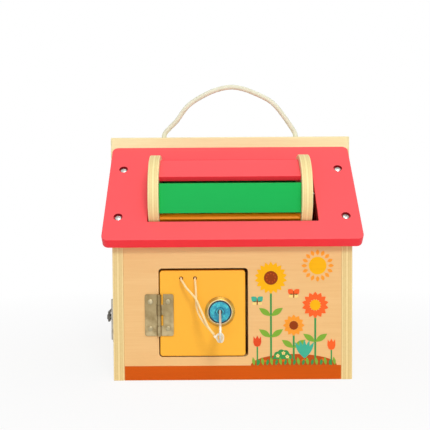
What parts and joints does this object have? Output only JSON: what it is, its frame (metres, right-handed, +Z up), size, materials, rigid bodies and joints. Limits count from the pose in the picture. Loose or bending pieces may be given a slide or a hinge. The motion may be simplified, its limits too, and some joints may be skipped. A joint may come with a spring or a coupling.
{
  "type": "wooden activity house",
  "caption": "Wooden toy house with a gabled red roof, a turning slatted drum, a front door with a cam lock and a tied key, a side door with a turn button, and a rope to carry it by.",
  "frame": {"origin": "on the floor, at the middle of the body's base", "axes": "+Z up, +X to the right seen from the front, the front door faces -Y"},
  "size_m": [0.2238, 0.2006, 0.2556],
  "materials": {
    "plywood": "sanded birch plywood, clear lacquer",
    "front_print": "plywood with a warm printed face",
    "red_paint": "satin paint on plywood",
    "yellow_paint": "satin paint on plywood",
    "green_paint": "satin paint on plywood",
    "orange_paint": "satin paint on plywood",
    "hinge_steel": "yellow zinc, satin",
    "steel": "plain zinc",
    "lock_chrome": "nickel plate, polished",
    "lock_blue": "glossy moulded plastic",
    "rope": "twisted cotton rope",
    "string": "twisted cotton string"
  },
  "bodies": {
    "house": {"base_panel": "plywood", "front_panel": "front_print", "back_panel": "plywood", "left_gable": "plywood", "right_gable": "plywood", "roof_front": "red_paint", "roof_back": "red_paint", "ridge_board": "plywood", "panel_dowels": "plywood", "roof_screws": "steel", "axle_rod": "steel", "axle_plugs": "red_paint", "rope_handle": "rope", "rope_knots": "rope", "front_hinge_wall_leaf": "hinge_steel", "front_hinge_pin": "hinge_steel", "front_hinge_wall_screws": "steel", "side_hinge_wall_leaf": "hinge_steel", "side_hinge_pin": "hinge_steel", "side_hinge_wall_screws": "steel", "turn_button_post": "steel"},
    "front_door": {"front_door_panel": "yellow_paint", "front_hinge_door_leaf": "hinge_steel", "front_hinge_door_screws": "steel", "lock_housing": "hinge_steel", "lock_face_ring": "lock_blue", "lock_ring_nut": "steel", "key_string": "string"},
    "lock_core": {"lock_plug": "lock_blue", "lock_cam": "steel", "lock_cam_nut": "steel", "key_string_loop": "string"},
    "key": {"key": "lock_chrome"},
    "drum": {"drum_disc_left": "plywood", "drum_disc_right": "plywood", "drum_slat_1": "green_paint", "drum_slat_2": "red_paint", "drum_slat_3": "red_paint", "drum_slat_4": "green_paint", "drum_slat_5": "orange_paint", "drum_slat_6": "orange_paint", "drum_brads": "steel"},
    "side_door": {"side_door_panel": "green_paint", "side_hinge_door_leaf": "hinge_steel", "side_hinge_door_screws": "steel"},
    "turn_button": {"turn_button": "steel"}
  },
  "joints": [
    {"name": "front_door_swing", "type": "hinge", "parent": "house", "child": "front_door", "pos_m": [-0.06125, -0.07705, 0.0554], "axis": [0, 0, -1], "range_deg": [0, 110]},
    {"name": "lock_turn", "type": "hinge", "parent": "front_door", "child": "lock_core", "pos_m": [-0.0106, -0.075, 0.058], "axis": [0, -1, 0], "range_deg": [0, 90]},
    {"name": "key_pull", "type": "slide", "parent": "lock_core", "child": "key", "axis": [0, -0.9135, -0.4067], "range_m": [0, 0.006]},
    {"name": "drum_turn", "type": "hinge", "parent": "house", "child": "drum", "pos_m": [0, -0.04453, 0.15498], "axis": [1, 0, 0], "continuous": true},
    {"name": "side_door_swing", "type": "hinge", "parent": "house", "child": "side_door", "pos_m": [-0.10205, -0.058, 0.0488], "axis": [0, 0, 1], "range_deg": [0, 110]},
    {"name": "button_turn", "type": "hinge", "parent": "house", "child": "turn_button", "pos_m": [-0.1, -0.00905, 0.042], "axis": [1, 0, 0], "range_deg": [0, 90]}
  ]
}
